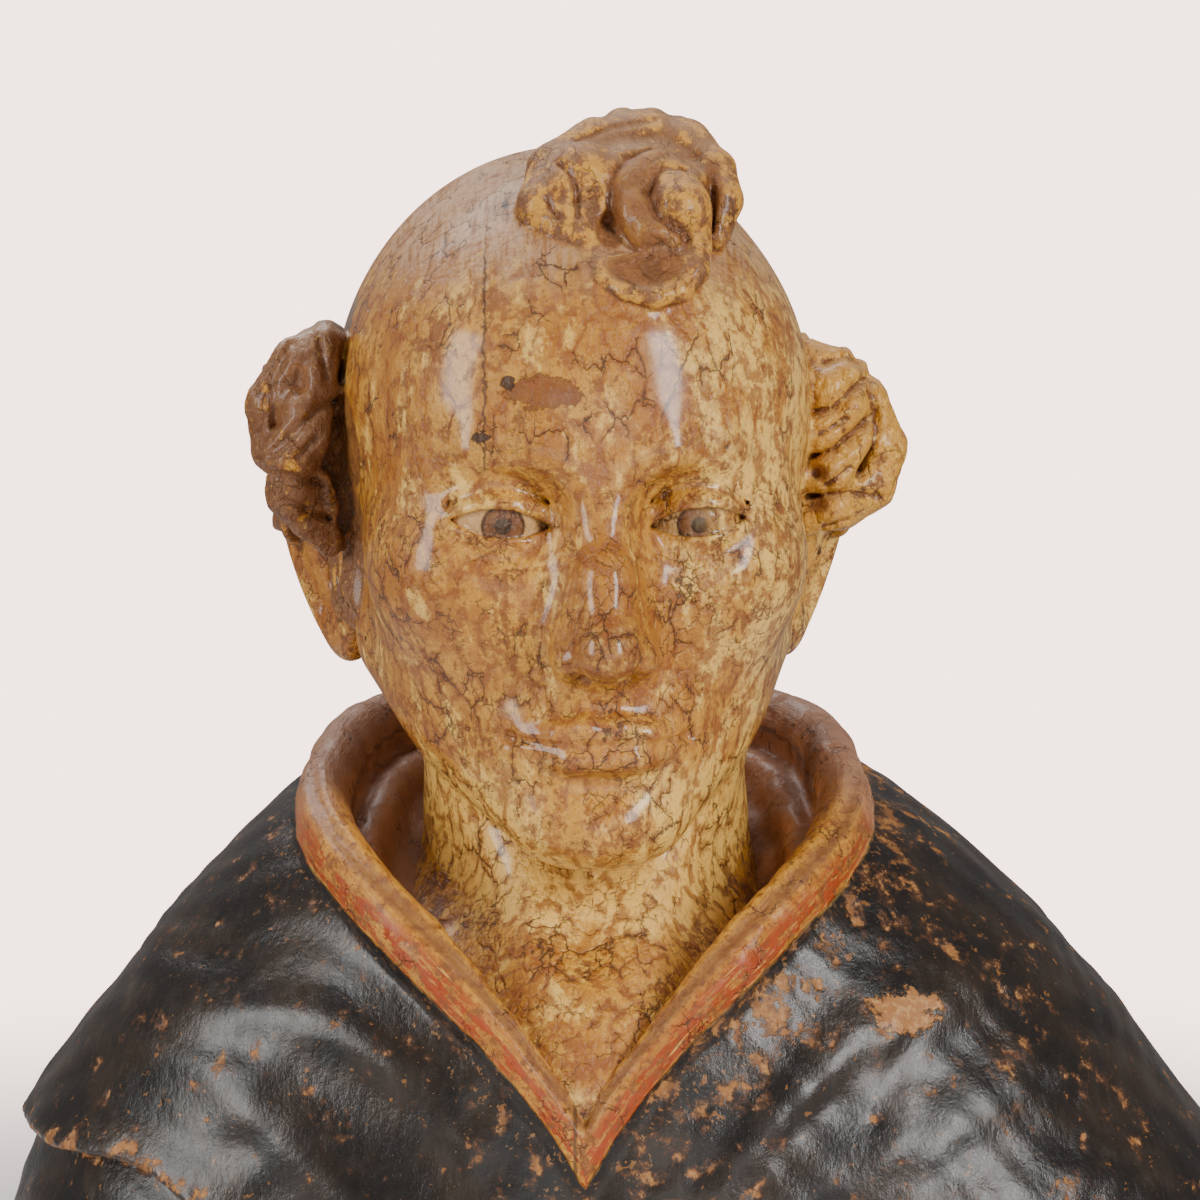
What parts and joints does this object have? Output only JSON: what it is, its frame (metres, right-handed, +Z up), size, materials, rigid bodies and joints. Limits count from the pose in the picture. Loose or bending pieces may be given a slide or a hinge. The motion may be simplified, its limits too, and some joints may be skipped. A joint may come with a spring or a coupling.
{
  "type": "wooden saint bust",
  "caption": "Head and shoulders bust of a saint carved in wood: tonsured head with a curled forelock and ear tufts, open hood collar and shoulder cape, cut flat below.",
  "frame": {"origin": "middle of the flat underside, below the neck", "axes": "+Z up, the figure faces -Y, +X to the figure's left"},
  "size_m": [0.3611, 0.2207, 0.3407],
  "materials": {
    "painted_wood": "old painted and varnished wood: crackled cream and ochre flesh, brown glazed hair, worn near-black cape with bare orange-brown chips, orange-red collar border"
  },
  "bodies": {
    "root": {"saint_bust": "painted_wood"}
  },
  "joints": []
}
